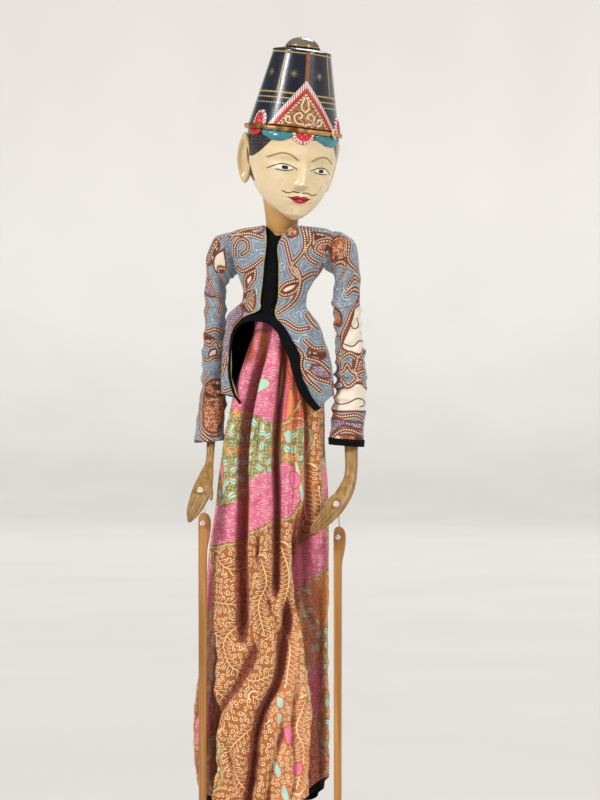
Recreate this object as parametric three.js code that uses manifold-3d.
// A wayang golek: a Javanese rod puppet of carved wood, dressed in batik.
//
// A central rod runs up through a bored trunk and is pegged into the neck, so turning the rod turns the
// head, and the trunk can also ride up the rod a little. The arms hang from cord loops at the shoulders,
// fold at lapped elbows and carry a bamboo rod on a knotted string at each hand.
//
// Millimetres, +Z up. The origin is the centre of the central rod's flat lower end. The puppet faces -Y,
// so its right hand is at -X. The arms hang at rest and the head looks a little towards its left.
import * as THREE from 'three';
import { mergeVertices } from 'three/addons/utils/BufferGeometryUtils.js';
import Module from 'manifold-3d';

const wasm = await Module();
wasm.setup();

// ---------------------------------------------------------------- driving dimensions
const GAP = 0.35;                 // air left between pieces that bear on each other
const ROD = { tail: 6.5, grip: 11.5, shaft: 5, shoulder: 372, top: 545 };
const WASHER = { radius: 14, height: 3 };
const TRUNK = { bottom: 376, top: 518, bore: 6.4, recess: 14.5, recessFloor: 500 };
const NECK = { radius: 12.3, bottom: 507, top: 548, bore: 5.5 };
const HEAD = { pivot: 520, yaw: 29, pitch: 7, roll: 4.5, chin: 12, top: 81, bandZ: 79.5 };
const HAT = { bottom: 81.5, shoulder: 140.5, wide: 36.2, narrow: 23.4 };
const SHOULDER = { x: 52, y: 8.5, z: 500 };
const ELBOW = { y: 8.5, z: 404, eye: 6, lap: 8.4 };
const PIN = { radius: 1.3, hole: 1.7, z: 515 };   // pegs the neck to the rod
const CORD = 1.1;                 // radius of the arm cords
const STRING = 0.8;               // radius of the hand strings
const PALM_TO_STRING = 6;         // from the middle of the hand back to the hanging string
const HAND_ROD = { bottom: 8, width: 6.2, thick: 4, knot: 26.6, bulge: 5.4 };
const CLOTH = 1.6;                // thickness given to the cloth solids
const SLIT = { from: -12.8, to: 0.9 };   // the jacket's open front, along X
const ARCH = { x: -4, top: 445, halfTop: 12, halfLow: 27, edge: 6 };   // the opening below the waist
const ARMHOLE = 9.6;
const HEM = { jacket: 379, binding: 385, skirt: 70, petticoat: 62 };
const SKIRT_TURN = 10;            // the skirt hangs turned this far from the trunk's front

// Each arm's points run from the elbow to the finger tips.
const SIDES = {
  right: {
    out: -1, elbow: -57.5, wrist: [-56, -15, 332], knuckle: [-57, -28, 320], hole: [-58, -33.5, 313],
    finger: [-60.5, -41, 303], tip: [-64.5, -49, 291], across: [0.97, 0, -0.24],
    sleeve: 9.8, cuff: [-58.4, -6, 354], cuffHalf: 11.2,
  },
  left: {
    out: 1, elbow: 54.5, wrist: [56, -1, 323], knuckle: [52.5, -9, 311], hole: [47.5, -15, 302],
    finger: [40.5, -21, 293], tip: [29.5, -28, 281], across: [0.83, 0, -0.55],
    sleeve: 10.8, cuff: [51, 4.5, 350], cuffHalf: 13.6,
  },
};

// ---------------------------------------------------------------- materials
const paint = (color, roughness, metalness = 0) => (
  new THREE.MeshStandardMaterial({ color, roughness, metalness }));
const MATERIALS = {
  rawWood: paint(0xb08a4e, 0.55),
  palm: paint(0xb9a25c, 0.5),
  bamboo: paint(0xb07f3c, 0.5),
  face: paint(0xdcc6a0, 0.3),
  lacquer: paint(0x14151c, 0.25),
  gilt: paint(0xb3782f, 0.4, 0.4),
  copper: paint(0x8a4a1c, 0.4, 0.3),
  red: paint(0xb5121c, 0.35),
  teal: paint(0x2b7f93, 0.35),
  cord: paint(0xe9e2d6, 0.8),
  leather: paint(0x6b4326, 0.7),
  finial: paint(0x6b5745, 0.5),
  black: paint(0x101016, 0.9),
  jacket: paint(0x8f9eb2, 0.85),
  skirt: paint(0xb4602c, 0.85),
};

// ---------------------------------------------------------------- solids
const vec = (p) => new THREE.Vector3(...p);
const radians = THREE.MathUtils.degToRad;

// A closed geometry as a manifold-3d solid, turned the right way out.
function solid(geometry) {
  const bare = geometry.clone();
  ['normal', 'uv'].forEach((name) => bare.deleteAttribute(name));
  const merged = mergeVertices(bare, 1e-4);
  const triVerts = new Uint32Array(merged.index.array);
  const vertProperties = new Float32Array(merged.attributes.position.array);
  const build = () => new wasm.Manifold(new wasm.Mesh({ numProp: 3, vertProperties, triVerts }));
  const made = build();
  if (made.volume() >= 0) return made;
  for (let i = 0; i < triVerts.length; i += 3) {
    [triVerts[i], triVerts[i + 1]] = [triVerts[i + 1], triVerts[i]];
  }
  return build();
}

function geometryOf(made) {
  const mesh = made.getMesh();
  const positions = new Float32Array(mesh.numVert * 3);
  for (let i = 0; i < mesh.numVert; i++) {
    positions.set(mesh.vertProperties.subarray(i * mesh.numProp, i * mesh.numProp + 3), i * 3);
  }
  return new THREE.BufferGeometry()
    .setAttribute('position', new THREE.BufferAttribute(positions, 3))
    .setIndex(new THREE.BufferAttribute(mesh.triVerts, 1))
    .toNonIndexed();
}

function piece(name, made, material, parent) {
  const geometry = geometryOf(made);
  geometry.computeVertexNormals();
  const mesh = new THREE.Mesh(geometry, material);
  mesh.name = name;
  parent.add(mesh);
  return mesh;
}

// A closed skin over rings of points, all with the same count, with a flat fan over each end ring.
function loft(rings) {
  const around = rings[0].length;
  const points = rings.flat();
  const faces = [];
  const at = (ring, i) => ring * around + (i % around);
  for (let ring = 0; ring + 1 < rings.length; ring++) {
    for (let i = 0; i < around; i++) {
      faces.push(at(ring, i), at(ring, i + 1), at(ring + 1, i + 1));
      faces.push(at(ring, i), at(ring + 1, i + 1), at(ring + 1, i));
    }
  }
  [0, rings.length - 1].forEach((ring) => {
    const middle = rings[ring].reduce((sum, p) => sum.add(p), new THREE.Vector3()).divideScalar(around);
    const centre = points.push(middle) - 1;
    for (let i = 0; i < around; i++) {
      faces.push(...(ring ? [centre, at(ring, i), at(ring, i + 1)] : [centre, at(ring, i + 1), at(ring, i)]));
    }
  });
  return solid(new THREE.BufferGeometry().setFromPoints(points).setIndex(faces));
}

// Rows of numbers, each a level of a loft, filled in to more levels along smooth curves.
function filled(rows, steps) {
  const curves = [0, 1, 2, 3, 4].map((k) => new THREE.SplineCurve(
    rows.map((row, i) => new THREE.Vector2(i, row[k] ?? 0))));
  return Array.from({ length: steps + 1 }, (_, i) => curves.map((curve) => curve.getPoint(i / steps).y));
}

// A ring at height z with half widths a and b round the centre (cx, cy).
function oval([z, a, b, cx = 0, cy = 0], around, grow = 0) {
  return Array.from({ length: around }, (_, i) => {
    const t = (i / around) * 2 * Math.PI;
    return new THREE.Vector3(cx + (a + grow) * Math.cos(t), cy + (b + grow) * Math.sin(t), z);
  });
}

const column = (rows, around, grow = 0) => loft(rows.map((row) => oval(row, around, grow)));

// A hollow sleeve of that thickness inside the column, open at both ends.
function tube(rows, around, thickness) {
  const last = rows.length - 1;
  const past = 5;
  const stretched = rows.map((row, i) => {
    const way = Math.sign(rows[last][0] - rows[0][0]);
    return [row[0] + way * past * ((i === last) - (i === 0)), ...row.slice(1)];
  });
  const inside = loft(stretched.map((row) => oval(row, around, -thickness)));
  return column(rows, around).subtract(inside);
}

// A limb along stations, each [centre, half width, half thickness, width's direction].
function limb(stations, around) {
  const path = new THREE.CatmullRomCurve3(stations.map((s) => vec(s[0])));
  return loft(stations.map(([centre, wide, thick, across], i) => {
    const along = path.getTangent(i / (stations.length - 1));
    const side = vec(across).addScaledVector(along, -vec(across).dot(along)).normalize();
    const front = along.clone().cross(side);
    return Array.from({ length: around }, (_, k) => {
      const t = (k / around) * 2 * Math.PI;
      return vec(centre)
        .addScaledVector(side, wide * Math.cos(t))
        .addScaledVector(front, thick * Math.sin(t));
    });
  }));
}

// A round bar between two points.
function bar(from, to, radius, sides = 16) {
  const a = vec(from);
  const b = vec(to);
  const geometry = new THREE.CylinderGeometry(radius, radius, a.distanceTo(b), sides);
  const direction = b.clone().sub(a).normalize();
  const turn = new THREE.Quaternion().setFromUnitVectors(new THREE.Vector3(0, 1, 0), direction);
  return solid(geometry.applyQuaternion(turn).translate(...a.add(b).multiplyScalar(0.5).toArray()));
}

const ball = (centre, radius, across = 12) => solid(
  new THREE.SphereGeometry(radius, across, Math.round(across * 0.66)).translate(...centre));

function block(low, high) {
  const size = high.map((v, k) => v - low[k]);
  const middle = high.map((v, k) => (v + low[k]) / 2);
  return solid(new THREE.BoxGeometry(...size).translate(...middle));
}

// A profile of [radius, height] pairs turned about Z.
const turned = (profile, sides = 20) => solid(
  new THREE.LatheGeometry(profile.map((p) => new THREE.Vector2(...p)), sides).rotateX(Math.PI / 2));

// A string or cord of round section along smooth points.
function thread(points, radius, steps) {
  const section = new THREE.Shape().absarc(0, 0, radius, 0, 2 * Math.PI);
  return solid(new THREE.ExtrudeGeometry(section, {
    steps, curveSegments: 3, extrudePath: new THREE.CatmullRomCurve3(points.map(vec), false, 'centripetal'),
  }));
}

// An outline of [x, z] in the XZ plane, from y = near to y = far.
function plate(shape, near, far) {
  const depth = far - near;
  const geometry = new THREE.ExtrudeGeometry(shape, { depth, bevelEnabled: false, curveSegments: 10 });
  return solid(geometry.rotateX(Math.PI / 2).translate(0, far, 0));
}

// ---------------------------------------------------------------- rod, head and hat
const pinBar = (halfLength, radius) => bar([-halfLength, 0, PIN.z], [halfLength, 0, PIN.z], radius, 12);
const pinHole = () => pinBar(NECK.radius + 8, PIN.hole);

function makeRod(root) {
  const rod = turned([
    [0, 0], [ROD.tail, 0], [8, 30], [10, 120], [ROD.grip, 300], [ROD.grip + 1, ROD.shoulder - 3],
    [ROD.grip + 1, ROD.shoulder], [ROD.shaft, ROD.shoulder], [ROD.shaft, ROD.top - 2],
    [ROD.shaft - 2, ROD.top], [0, ROD.top],
  ]);
  const turn = new THREE.Matrix4().makeRotationZ(radians(HEAD.yaw));
  piece('central_rod', rod.subtract(pinHole().transform(turn.toArray())), MATERIALS.rawWood, root);
}

// The half widths of the skull from the chin up: z, x, y, and the shift of the centre.
const SKULL = filled([
  [HEAD.chin, 6, 5, 0, -25], [17, 14, 13, 0, -19], [26, 22, 23, 0, -12], [38, 29, 31, 0, -5],
  [52, 34, 36, 0, -1], [64, 36, 37.5, 0, 0], [74, 36, 37.5, 0, 0], [HEAD.top, 34.6, 35.6, 0, 0],
], 9);

const BROW_ROLL_Z = 73;
function browRoll(out, grow) {
  const spread = [12, 30, 52, 74];
  const thick = [0.9, 2.6, 2.8, 2];
  return limb(spread.map((degrees, i) => {
    const t = radians(degrees);
    const drop = 5 * (i / (spread.length - 1)) ** 2;
    const centre = [out * 36.4 * Math.sin(t), -37.8 * Math.cos(t), BROW_ROLL_Z + 1 - drop];
    return [centre, thick[i] + grow, thick[i] + grow, [0, 0, 1]];
  }), 8);
}

function makeHead(root) {
  const yawed = new THREE.Group();
  yawed.rotation.z = radians(HEAD.yaw);
  root.add(yawed);
  const tilted = new THREE.Group();
  tilted.position.set(0, 0, HEAD.pivot);
  tilted.rotation.set(radians(HEAD.pitch), radians(HEAD.roll), 0);
  yawed.add(tilted);
  tilted.updateMatrix();

  const nose = column([[34, 5, 8, 0, -36], [40, 3.4, 8, 0, -36.5], [58, 1.6, 3, 0, -36.5]], 10);
  let skull = column(SKULL, 22).add(nose);
  for (const side of Object.values(SIDES)) {
    const ear = new THREE.SphereGeometry(1, 10, 6).scale(3.6, 8, 20).rotateZ(side.out * radians(-22))
      .translate(side.out * 38, 5, 54);
    skull = skull.add(solid(ear)).subtract(browRoll(side.out, GAP));
  }
  const top = NECK.radius + 1;
  const neck = column([[NECK.bottom, NECK.radius, NECK.radius], [NECK.top, top, top]], 28);
  const bore = bar([0, 0, NECK.bottom - 5], [0, 0, ROD.top + 1], NECK.bore, 24);
  const head = skull.transform(tilted.matrix.toArray()).add(neck).subtract(bore).subtract(pinHole());
  piece('head', head, MATERIALS.face, yawed);
  piece('head_pin', pinBar(NECK.radius - 0.4, PIN.radius), MATERIALS.bamboo, yawed);

  for (const [name, side] of Object.entries(SIDES)) {
    piece(`brow_roll_${name}`, browRoll(side.out, 0), MATERIALS.teal, tilted);
  }
  makeHat(tilted);
}

// The crown's radius at a height in the tilted head's frame.
function hatRadius(z) {
  const share = (z - HAT.bottom) / (HAT.shoulder - HAT.bottom);
  return THREE.MathUtils.lerp(HAT.wide, HAT.narrow, share);
}

function makeHat(parent) {
  const cap = HAT.shoulder + 5;
  const crown = turned([
    [0, HAT.bottom], [HAT.wide, HAT.bottom], [hatRadius(HAT.bottom + 14), HAT.bottom + 14],
    [HAT.narrow, HAT.shoulder], [HAT.narrow - 2, HAT.shoulder + 2.4], [12.5, cap], [0, cap],
  ], 32);
  piece('hat_crown', crown, MATERIALS.lacquer, parent);

  const foot = cap + GAP;
  const finial = turned([
    [0, foot], [13.4, foot], [13.4, foot + 1.4], [9.5, foot + 4.6], [4.5, foot + 7.2], [0, foot + 8],
  ], 28);
  piece('hat_finial', finial, MATERIALS.finial, parent);

  const ring = [[36.9, -2.4], [38.9, -2.4], [39.7, 0], [38.9, 2.4], [36.9, 2.4], [36.9, -2.4]];
  piece('hat_band', turned(ring.map(([r, z]) => [r, z + HEAD.bandZ]), 32), MATERIALS.gilt, parent);

  const low = HEAD.bandZ + 3;
  const apex = new THREE.Shape([[-25, low], [25, low], [0, low + 37]].map((p) => new THREE.Vector2(...p)));
  piece('diadem_plate', hatPlate(apex, 0), MATERIALS.copper, parent);
  for (const [name, side] of Object.entries(SIDES)) {
    const arch = new THREE.Shape().moveTo(-7, low).lineTo(7, low);
    arch.bezierCurveTo(7, low + 9, 4, low + 14, 0, low + 15);
    arch.bezierCurveTo(-4, low + 14, -7, low + 9, -7, low);
    piece(`side_petal_${name}`, hatPlate(arch, side.out * 62), MATERIALS.red, parent);
  }
  const half = new THREE.Shape().absarc(0, HEAD.bandZ - 2.9, 7.4, Math.PI, 2 * Math.PI);
  piece('front_rosette', plate(half, -39.8, -38.2), MATERIALS.red, parent);
}

// A thin plate bent round the crown, of that outline in front and then turned round by that angle.
function hatPlate(outline, angle) {
  const foot = HAT.bottom - 5;
  const wall = (grow) => turned([[0, foot], [hatRadius(foot) + grow, foot],
    [hatRadius(HAT.shoulder) + grow, HAT.shoulder], [0, HAT.shoulder]], 32);
  const turn = new THREE.Matrix4().makeRotationZ(radians(angle));
  return wall(1.8).subtract(wall(0.6)).intersect(plate(outline, -45, -5)).transform(turn.toArray());
}

// ---------------------------------------------------------------- trunk
const LOOP_X = 41.2;              // where the arm loops ride on the trunk's cord
function makeTrunk(root) {
  const body = column(filled([
    [TRUNK.bottom, 26, 19], [386, 29, 22], [412, 25, 18.5], [448, 15, 12], [476, 29, 17.5], [497, 36.8, 20],
    [510, 34.5, 18.5], [TRUNK.top, 27, 16],
  ], 10), 22);
  const bore = bar([0, 0, TRUNK.bottom - 5], [0, 0, TRUNK.top + 5], TRUNK.bore, 24);
  const recess = bar([0, 0, TRUNK.recessFloor], [0, 0, TRUNK.top + 5], TRUNK.recess, 28);
  const { y, z } = SHOULDER;
  const cordHole = bar([-60, y, z], [60, y, z], CORD + 0.45, 10);
  piece('torso', body.subtract(bore).subtract(recess).subtract(cordHole), MATERIALS.rawWood, root);
  const stop = LOOP_X + 3.4;
  const cord = bar([-stop, y, z], [stop, y, z], CORD, 10);
  const knots = ball([stop, y, z], 2, 8).add(ball([-stop, y, z], 2, 8));
  piece('shoulder_cord', cord.add(knots), MATERIALS.cord, root);
}

function makeWasher(root) {
  const low = ROD.shoulder + GAP;
  const ring = [[ROD.shaft + 1, low], [WASHER.radius, low], [WASHER.radius, low + WASHER.height],
    [ROD.shaft + 1, low + WASHER.height], [ROD.shaft + 1, low]];
  piece('rod_washer', turned(ring, 24), MATERIALS.leather, root);
}

// ---------------------------------------------------------------- clothes of the trunk
const JACKET_ROWS = filled([
  [519.5, 27, 17], [514, 37, 22.5], [500, 39.4, 25.5], [478, 36, 24.5], [452, 28, 22.5], [436, 31, 25],
  [412, 39, 30, -1.5], [HEM.jacket, 43.4, 33, -2],
], 11);

function makeJacket(root) {
  const shell = tube(JACKET_ROWS, 24, CLOTH);
  const neckHole = bar([0, 0, 505], [0, 0, 530], 17.5, 28);
  const armholes = bar([-60, SHOULDER.y, SHOULDER.z], [60, SHOULDER.y, SHOULDER.z], ARMHOLE, 20);
  const slit = block([SLIT.from, -60, ARCH.top - 12], [SLIT.to, 0, 530]);
  const arch = (grow) => {
    const outline = new THREE.Shape();
    const low = HEM.jacket - 10;
    const top = ARCH.top + grow;
    const foot = ARCH.halfLow + grow;
    const round = ARCH.halfTop + grow;
    outline.moveTo(ARCH.x - foot, low);
    outline.bezierCurveTo(ARCH.x - foot, top - 15, ARCH.x - round, top, ARCH.x, top);
    outline.bezierCurveTo(ARCH.x + round, top, ARCH.x + foot, top - 30, ARCH.x + foot + 2, low);
    return plate(outline, -60, 0);
  };
  const hemZone = (top) => block([-70, -60, HEM.jacket - 10], [70, 60, top]);
  const open = shell.subtract(arch(0)).subtract(neckHole).subtract(armholes);
  const binding = open.intersect(arch(ARCH.edge).add(hemZone(HEM.binding))).subtract(slit);
  const cloth = open.subtract(arch(ARCH.edge + GAP)).subtract(hemZone(HEM.binding + GAP)).subtract(slit);
  const largest = (made) => made.decompose().sort((a, b) => b.volume() - a.volume())[0];
  piece('jacket', largest(cloth), MATERIALS.jacket, root);
  const halves = binding.decompose().sort((a, b) => b.volume() - a.volume());
  piece('jacket_binding', halves[0], MATERIALS.black, root);

  const inset = CLOTH + 0.8;
  const vestRows = JACKET_ROWS.filter((row) => row[0] > 440 && row[0] < 517)
    .map(([z, a, b, x, y]) => [z, a - inset, b - inset, x, y]);
  const bib = tube(vestRows, 24, 1).intersect(block([-22, -40, 448], [12, -6, 512]));
  piece('vest_front', bib, MATERIALS.black, root);

  const band = (radius, low, high) => bar([0, 0, low], [0, 0, high], radius, 28);
  const collar = band(16.8, TRUNK.top + GAP, 521.5).subtract(band(15, 510, 530));
  piece('collar', collar.subtract(block([-10, -30, 500], [0, -5, 530])), MATERIALS.black, root);
}

const SKIRT_ROWS = filled([
  [451, 21.6, 17], [440, 22.6, 18.4], [418, 30, 24], [398, 34, 26.5, -2], [344, 41.5, 28, -7, 1],
  [304, 45, 28.5, -8, 2], [264, 49, 29, -10, 3], [224, 50.5, 29, -12, 3], [184, 51.5, 29, -13, 4],
  [144, 55, 29, -16, 4], [104, 56, 29, -16.5, 4], [HEM.skirt, 53, 29, -15, 4],
], 11);
const WAIST_CORD_Z = 444;

function makeSkirt(root) {
  const turnedGroup = new THREE.Group();
  turnedGroup.rotation.z = radians(SKIRT_TURN);
  root.add(turnedGroup);
  piece('skirt', tube(SKIRT_ROWS, 24, CLOTH), MATERIALS.skirt, turnedGroup);
  const inset = CLOTH + 1.8;
  const under = SKIRT_ROWS.filter((row) => row[0] < TRUNK.bottom - 4)
    .map(([z, a, b, x, y]) => [z === HEM.skirt ? HEM.petticoat : z, a - inset, b - inset, x, y]);
  piece('petticoat', tube(under, 24, 1.2), MATERIALS.black, turnedGroup);

  const loop = new THREE.CatmullRomCurve3(oval([WAIST_CORD_Z, 24, 19.8], 14), true);
  piece('waist_cord', solid(new THREE.TubeGeometry(loop, 24, 1, 6, true)), MATERIALS.cord, turnedGroup);
}

// ---------------------------------------------------------------- arms
// The loop of cord that rides on the trunk's cord and runs through the arm's eye.
function makeShoulderLoop(name, side, root) {
  const { x, y, z } = SHOULDER;
  const ringRadius = 2.9;
  const reach = 6.2;
  const ring = new THREE.TorusGeometry(ringRadius, CORD - 0.1, 6, 12).rotateY(Math.PI / 2);
  const strand = [
    [LOOP_X, ringRadius], [LOOP_X + 2.4, reach - 1], [x - 3, reach], [x, reach - 2], [x, 0], [x, 2 - reach],
    [x - 3, -reach], [LOOP_X + 2.4, 1 - reach], [LOOP_X, -ringRadius],
  ].map(([px, py]) => [side.out * px, y + py, z]);
  const rider = solid(ring.translate(side.out * LOOP_X, y, z));
  const made = rider.add(thread(strand, CORD - 0.1, 12));
  piece(`shoulder_loop_${name}`, made, MATERIALS.cord, root);
}

// A cutter that takes a sleeve away past a plane sloping back from the inside of the elbow.
const SLEEVE_SLOPE = 33;
function elbowCutter(side, above) {
  const way = above ? 1 : -1;
  const wedge = new THREE.BoxGeometry(60, 80, 60).translate(0, 0, way * 30)
    .rotateX(radians(way * SLEEVE_SLOPE));
  return solid(wedge.translate(side.elbow, ELBOW.y, ELBOW.z - way * 11.5));
}

function makeUpperArm(name, side, root) {
  const { x, y, z } = SHOULDER;
  const top = [side.out * x, y, z];
  const elbow = [side.elbow, ELBOW.y, ELBOW.z];
  const between = (share) => top.map((v, k) => THREE.MathUtils.lerp(v, elbow[k], share));
  const acrossX = (from, to, radius) => bar([side.elbow + side.out * from, y, ELBOW.z],
    [side.elbow + side.out * to, y, ELBOW.z], radius, 20);
  const wide = [1, 0, 0];
  const shaft = limb([
    [between(0.02), 3.8, 4, wide], [between(0.2), 4.8, 5, wide], [between(0.5), 5.2, 5.2, wide],
    [between(0.82), 4.8, 5, wide], [elbow, 4.8, 4.8, wide],
  ], 14);
  const eye = bar([top[0], y - 4, z], [top[0], y + 4, z], 4.8, 18);
  const eyeHole = bar([top[0], y - 9, z], [top[0], y + 9, z], CORD + 0.7, 10);
  const arm = shaft.subtract(acrossX(-9, GAP, ELBOW.lap)).add(acrossX(GAP, 5, ELBOW.eye)).add(eye)
    .subtract(eyeHole).subtract(acrossX(-12, 12, CORD + 0.5));
  piece(`upper_arm_${name}`, arm, MATERIALS.rawWood, root);

  const knot = (way) => ball([side.elbow + way * 7, y, ELBOW.z], 1.9, 8);
  piece(`elbow_cord_${name}`, acrossX(-6.8, 6.8, CORD).add(knot(1)).add(knot(-1)), MATERIALS.cord, root);

  const rows = [0.16, 0.5, 1].map((share, i) => {
    const [cx, cy, cz] = between(share);
    return [cz, [11.4, 11, side.sleeve][i], 11.8, cx, cy];
  });
  const sleeve = tube(filled(rows, 3), 18, CLOTH).subtract(elbowCutter(side, false));
  piece(`upper_sleeve_${name}`, sleeve, MATERIALS.jacket, root);
}

function makeForearm(name, side, root) {
  const elbow = [side.elbow, ELBOW.y, ELBOW.z];
  const halfway = (point) => point.map((v, k) => (v + elbow[k]) / 2);
  const acrossX = (from, to, radius) => bar([side.elbow + side.out * from, elbow[1], elbow[2]],
    [side.elbow + side.out * to, elbow[1], elbow[2]], radius, 20);
  const wide = [1, 0, 0];
  const limbs = limb([
    [elbow, 4.8, 4.8, wide], [halfway(halfway(side.wrist)), 4.8, 4.8, wide],
    [halfway(side.wrist), 4.2, 4, wide], [side.wrist, 3.9, 3.2, side.across],
    [side.knuckle, 7, 3.5, side.across], [side.hole, 7.4, 3.4, side.across],
    [side.finger, 6.4, 3, side.across], [side.tip, 2.6, 1.8, side.across],
  ], 14);
  const [hx, hy, hz] = side.hole;
  const stringHole = bar([hx, hy - 12, hz], [hx, hy + 12, hz], STRING + 0.6, 10);
  const made = limbs.subtract(acrossX(-GAP, 9, ELBOW.lap)).add(acrossX(-5, -GAP, ELBOW.eye))
    .subtract(acrossX(-12, 12, CORD + 0.5)).subtract(stringHole);
  piece(`forearm_${name}`, made, MATERIALS.palm, root);

  const end = [side.cuff[2], side.cuffHalf, side.cuffHalf - 0.8, side.cuff[0], side.cuff[1]];
  const middle = halfway(side.cuff);
  const rows = [[elbow[2], side.sleeve, 11.8, elbow[0], elbow[1]],
    [middle[2], side.sleeve, 11.2, middle[0], middle[1]], end];
  const sleeve = tube(filled(rows, 3), 18, CLOTH).subtract(elbowCutter(side, true));
  piece(`lower_sleeve_${name}`, sleeve, MATERIALS.jacket, root);
  const binding = [[end[0] - GAP, ...end.slice(1)], [end[0] - 3.6, ...end.slice(1)]];
  piece(`cuff_binding_${name}`, tube(binding, 18, CLOTH), MATERIALS.black, root);
}

// The hand's string is knotted before the palm and runs through it. It hangs from a point behind the
// palm, swings there as a short link, and its lower end runs through the rod's eye to a second knot.
function makeHandString(name, side, root) {
  const [x, y, z] = side.hole;
  const back = y + PALM_TO_STRING;
  const through = bar([x, y - 6, z], [x, back, z], STRING, 8);
  const front = ball([x, y - 6.6, z], 2.2, 8);
  piece(`hand_knot_${name}`, through.add(front).add(ball([x, back, z], 1.4, 8)), MATERIALS.cord, root);
  const hanging = bar([x, back + 0.2, z - 2.1], [x, back + 1, z - 9], STRING, 8);
  piece(`hand_string_${name}`, hanging, MATERIALS.cord, root);
}

function makeHandRod(name, side, root) {
  const [x, y, z] = side.hole;
  const middle = y + PALM_TO_STRING;
  const hole = z - HAND_ROD.knot;
  const top = hole + 8.2;
  const left = x - 4;
  const right = left + HAND_ROD.width;
  const outline = new THREE.Shape();
  outline.moveTo(left + 0.4, HAND_ROD.bottom);
  outline.lineTo(right - 0.4, HAND_ROD.bottom);
  outline.lineTo(right, hole - 26);
  outline.bezierCurveTo(right, hole - 16, x + HAND_ROD.bulge, hole - 12, x + HAND_ROD.bulge, hole);
  outline.bezierCurveTo(x + HAND_ROD.bulge, hole + 5, x + 3, top, x, top);
  outline.bezierCurveTo(x - 3, top, left, hole + 6, left, hole);
  outline.closePath();
  const wood = plate(outline, middle - HAND_ROD.thick / 2, middle + HAND_ROD.thick / 2);
  const eye = bar([x, middle - 9, hole], [x, middle + 9, hole], STRING + 0.6, 10);
  piece(`hand_rod_${name}`, wood.subtract(eye), MATERIALS.bamboo, root);

  const behind = middle + HAND_ROD.thick / 2 + STRING + 0.4;
  const tie = thread([[x, middle + 1.1, z - 9.8], [x, behind - 0.4, top + 1], [x, behind, hole + 3],
    [x, behind - 0.7, hole + 0.8], [x, middle, hole], [x, middle - 3, hole]], STRING, 8);
  piece(`rod_tie_${name}`, tie.add(ball([x, middle - 4.6, hole], 2.2, 8)), MATERIALS.cord, root);
}

// ---------------------------------------------------------------- assembly
const puppet = new THREE.Group();
makeRod(puppet);
makeHead(puppet);
makeTrunk(puppet);
makeWasher(puppet);
makeJacket(puppet);
makeSkirt(puppet);
for (const [name, side] of Object.entries(SIDES)) {
  makeShoulderLoop(name, side, puppet);
  makeUpperArm(name, side, puppet);
  makeForearm(name, side, puppet);
  makeHandString(name, side, puppet);
  makeHandRod(name, side, puppet);
}

export default puppet;
